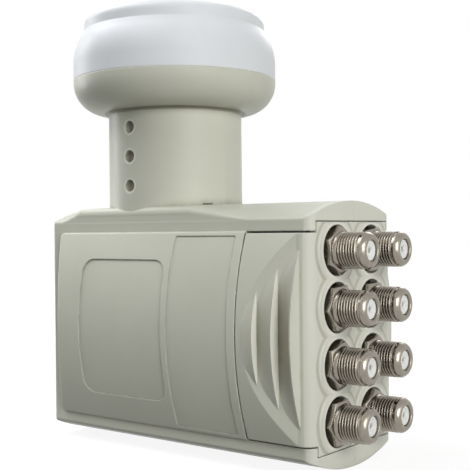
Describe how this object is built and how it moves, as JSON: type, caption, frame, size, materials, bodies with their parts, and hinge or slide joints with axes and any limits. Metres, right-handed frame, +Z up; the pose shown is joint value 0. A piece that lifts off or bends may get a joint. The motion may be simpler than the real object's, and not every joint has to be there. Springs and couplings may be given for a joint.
{
  "type": "satellite lnb",
  "caption": "Satellite dish feed receiver: capped round feed on a clamping neck, box body with bulged sides, sliding ridged weather cover and two columns of threaded outputs.",
  "frame": {"origin": "on the neck's axis, half-way between the bowl and the body's roof", "axes": "+Z up the neck towards the feed cap, +X out of the outputs, the pictured side faces -Y"},
  "size_m": [0.1055, 0.0608, 0.127],
  "materials": {
    "grey_plastic": "moulded with a fine satin grain",
    "cap_plastic": "smooth, slightly translucent white",
    "nickel": "bright nickel plating",
    "insulator": "smooth white",
    "probe_metal": "drawn",
    "casting": "die-cast",
    "lid_sheet": "rolled sheet",
    "board": "solder resist",
    "rubber": "moulded",
    "screw_steel": "zinc-plated"
  },
  "bodies": {
    "housing": {"right_shell": "grey_plastic", "left_shell": "grey_plastic", "feed_cap": "cap_plastic", "cap_seal": "rubber", "chassis": "casting", "rf_board": "board", "switch_board": "board", "horizontal_probe": "probe_metal", "vertical_probe": "probe_metal", "horizontal_probe_sleeve": "insulator", "vertical_probe_sleeve": "insulator", "right_lid": "lid_sheet", "left_lid": "lid_sheet", "right_lid_gasket": "rubber", "left_lid_gasket": "rubber", "right_lid_screws": "screw_steel", "left_lid_screws": "screw_steel", "f_connector_1": "nickel", "connector_insulator_1": "insulator", "connector_contact_1": "probe_metal", "connector_seal_1": "rubber", "f_connector_2": "nickel", "connector_insulator_2": "insulator", "connector_contact_2": "probe_metal", "connector_seal_2": "rubber", "f_connector_3": "nickel", "connector_insulator_3": "insulator", "connector_contact_3": "probe_metal", "connector_seal_3": "rubber", "f_connector_4": "nickel", "connector_insulator_4": "insulator", "connector_contact_4": "probe_metal", "connector_seal_4": "rubber", "f_connector_5": "nickel", "connector_insulator_5": "insulator", "connector_contact_5": "probe_metal", "connector_seal_5": "rubber", "f_connector_6": "nickel", "connector_insulator_6": "insulator", "connector_contact_6": "probe_metal", "connector_seal_6": "rubber", "f_connector_7": "nickel", "connector_insulator_7": "insulator", "connector_contact_7": "probe_metal", "connector_seal_7": "rubber", "f_connector_8": "nickel", "connector_insulator_8": "insulator", "connector_contact_8": "probe_metal", "connector_seal_8": "rubber"},
    "cover": {"weather_cover": "grey_plastic"}
  },
  "joints": [
    {"name": "cover_slide", "type": "slide", "parent": "housing", "child": "cover", "axis": [1, 0, 0], "range_m": [0, 0.02]}
  ]
}
